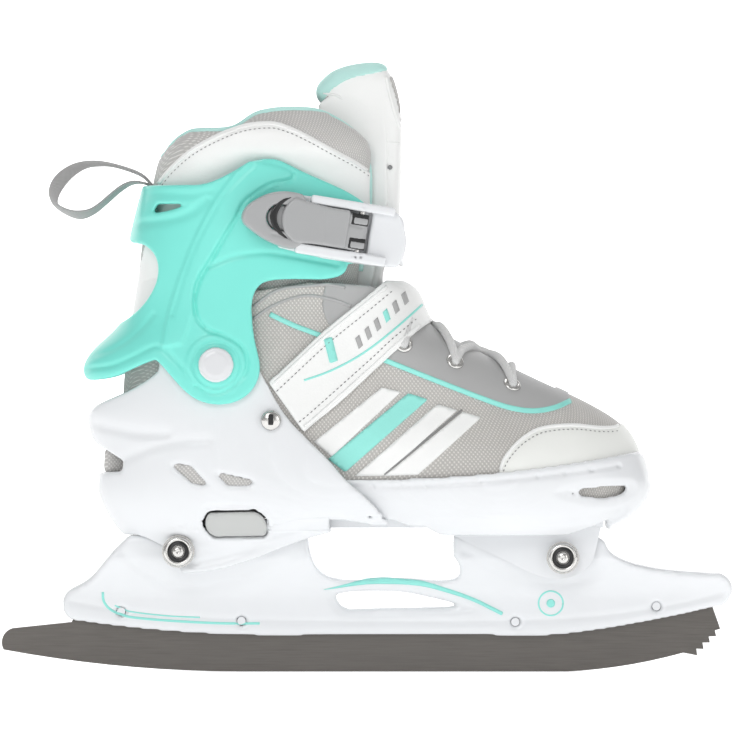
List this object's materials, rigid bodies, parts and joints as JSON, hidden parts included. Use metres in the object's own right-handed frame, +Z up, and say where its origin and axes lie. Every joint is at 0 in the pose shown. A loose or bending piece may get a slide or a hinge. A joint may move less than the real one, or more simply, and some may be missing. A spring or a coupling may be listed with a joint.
{
  "type": "adjustable ice skate",
  "caption": "Adjustable recreational ice skate with steel runner, two-part shell, padded boot, hinged ankle cuff, lever buckle, strap and laces.",
  "frame": {"origin": "middle of the runner's flat running edge, on the blade's centre plane", "axes": "+X towards the toe, +Z up, -Y towards the outer side of the right foot"},
  "size_m": [0.3523, 0.1112, 0.2933],
  "materials": {
    "runner_steel": "ground hard steel, darker grey, fine lengthwise brushing",
    "bright_steel": "bright plated steel",
    "white_plastic": "glossy white moulded plastic",
    "pearl_plastic": "pearl grey moulded plastic",
    "mint_plastic": "semi-gloss mint moulded plastic",
    "grey_plastic": "satin grey moulded plastic",
    "dark_grey_plastic": "satin dark grey moulded plastic",
    "pale_grey_plastic": "satin pale grey moulded plastic",
    "white_leather": "smooth white coated synthetic leather",
    "dark_grey_leather": "smooth grey coated synthetic leather",
    "grey_fabric": "warm grey knitted mesh",
    "mint_fabric": "mint binding and piping",
    "grey_webbing": "grey woven webbing",
    "lace_white": "white round lace"
  },
  "bodies": {
    "chassis": {"blade": "runner_steel", "blade_holder": "white_plastic", "blade_pins": "bright_steel", "mount_bolts": "bright_steel", "bolt_washers": "bright_steel", "mount_nuts": "bright_steel", "heel_shell": "white_plastic", "sole_plate": "white_plastic", "sole_screws": "bright_steel", "pivot_rivets": "pearl_plastic", "pivot_bushes": "white_plastic", "shell_rivets": "bright_steel", "liner": "white_leather", "heel_insole": "grey_fabric", "button_spring": "bright_steel"},
    "toe": {"front_shell": "white_plastic", "size_rack": "grey_plastic", "toe_upper": "grey_fabric", "toe_cap": "white_leather", "lace_tongue": "dark_grey_leather", "eyestay_outer": "dark_grey_leather", "eyestay_inner": "dark_grey_leather", "eyelets": "bright_steel", "shoelace": "lace_white", "instep_strap": "white_leather", "toe_insole": "grey_fabric"},
    "ankle_cuff": {"cuff": "mint_plastic", "collar": "grey_fabric", "tongue": "white_leather", "pull_loop": "grey_webbing", "buckle_frame": "white_plastic", "lever_pin": "bright_steel", "buckle_strap": "white_plastic", "strap_screw": "bright_steel", "frame_rivets": "bright_steel"},
    "lever": {"buckle_lever": "grey_plastic", "release_pin": "bright_steel", "release_spring": "bright_steel"},
    "release": {"buckle_release": "dark_grey_plastic"},
    "button": {"size_button": "pale_grey_plastic"}
  },
  "joints": [
    {"name": "size_slide", "type": "slide", "parent": "chassis", "child": "toe", "axis": [1, 0, 0], "range_m": [0, 0.02]},
    {"name": "cuff_flex", "type": "hinge", "parent": "chassis", "child": "ankle_cuff", "pos_m": [-0.0718, 0, 0.1479], "axis": [0, 1, 0], "range_deg": [-8, 3]},
    {"name": "lever_open", "type": "hinge", "parent": "ankle_cuff", "child": "lever", "pos_m": [-0.00306, -0.04994, 0.2126], "axis": [0.1551, 0.0204, 0.9877], "range_deg": [0, 100]},
    {"name": "release_press", "type": "hinge", "parent": "lever", "child": "release", "pos_m": [-0.01785, -0.05108, 0.21495], "axis": [-0.1551, -0.0204, -0.9877], "range_deg": [0, 3], "stiffness_Nm_per_rad": 0.6, "springref_deg": -2.86},
    {"name": "button_press", "type": "slide", "parent": "chassis", "child": "button", "axis": [0, 1, 0], "range_m": [0, 0.003], "stiffness_N_per_m": 800, "springref_m": -0.001}
  ]
}
